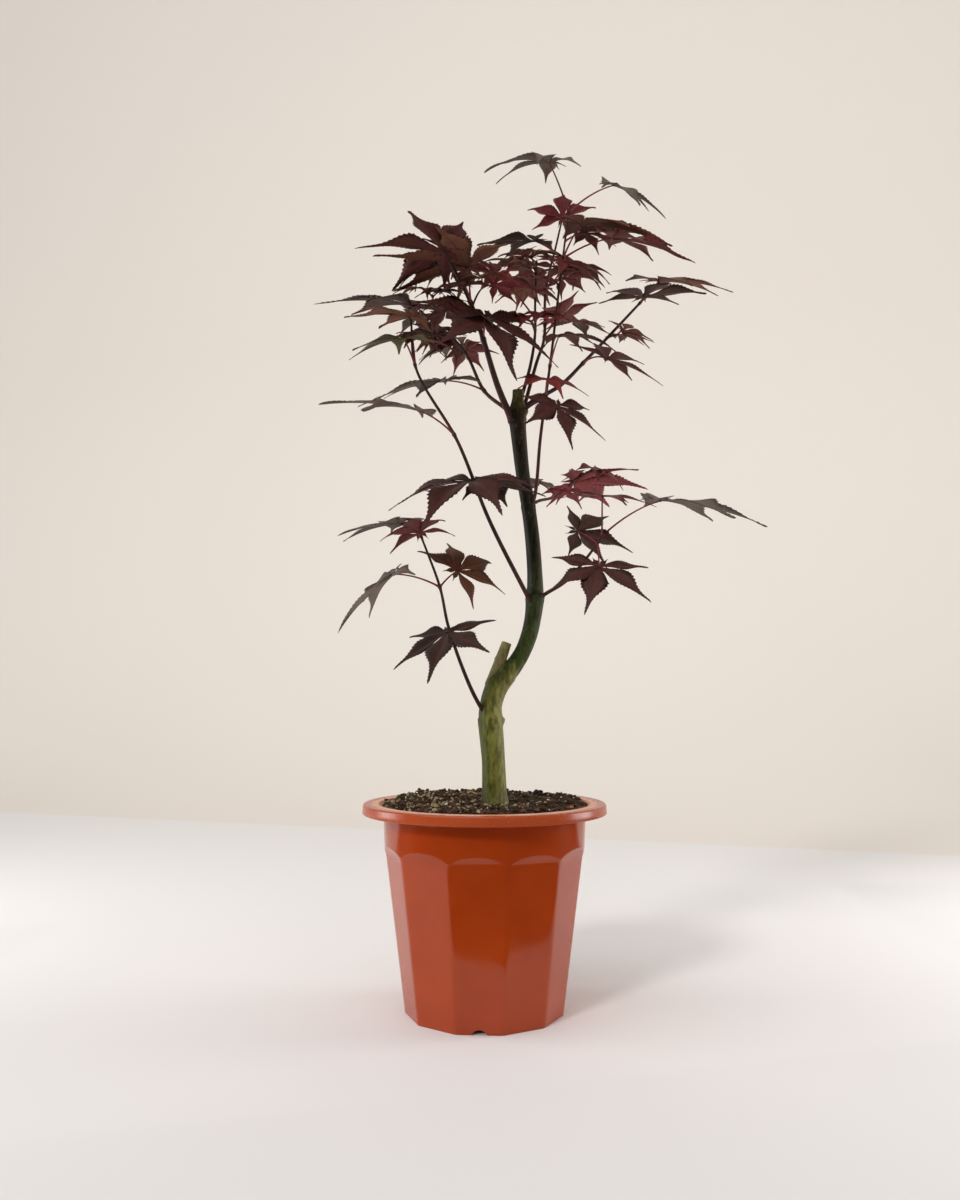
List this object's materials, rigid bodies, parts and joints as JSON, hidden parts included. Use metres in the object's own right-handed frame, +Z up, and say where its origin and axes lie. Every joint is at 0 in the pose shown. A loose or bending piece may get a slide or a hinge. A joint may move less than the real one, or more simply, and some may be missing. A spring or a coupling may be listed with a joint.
{
  "type": "potted japanese maple",
  "caption": "Young Japanese maple with long pointed purple-red leaves on a bent trunk with a cut stub, growing in a faceted moulded nursery pot.",
  "frame": {"origin": "centre of the pot's flat underside", "axes": "+Z up along the trunk, -Y to the front from where the plant is seen, +X to its right"},
  "size_m": [0.3856, 0.2821, 0.734],
  "materials": {
    "pot_plastic": "glossy moulded terracotta-coloured plastic, the flat lip paler and duller",
    "potting_mix": "rough dark bark mix with pale grit",
    "trunk_bark": "satin green bark, darker to the top",
    "shoot_bark": "satin purple-brown young bark",
    "leaves": "satin leaf skin, dark purple-red"
  },
  "bodies": {
    "root": {"pot": "pot_plastic", "soil": "potting_mix", "trunk": "trunk_bark", "bough_low_left": "shoot_bark", "bough_mid_left": "shoot_bark", "bough_low_right": "shoot_bark", "bough_tall_right": "shoot_bark", "bough_back_left": "shoot_bark", "bough_left_leader": "shoot_bark", "bough_centre": "shoot_bark", "bough_back_centre": "shoot_bark", "bough_right": "shoot_bark", "foliage_low_left": "leaves", "foliage_mid_left": "leaves", "foliage_low_right": "leaves", "foliage_back_low": "leaves", "foliage_tall_right": "leaves", "foliage_back_left": "leaves", "foliage_left_leader": "leaves", "foliage_centre": "leaves", "foliage_back_centre": "leaves", "foliage_right": "leaves", "foliage_front_right": "leaves"}
  },
  "joints": []
}
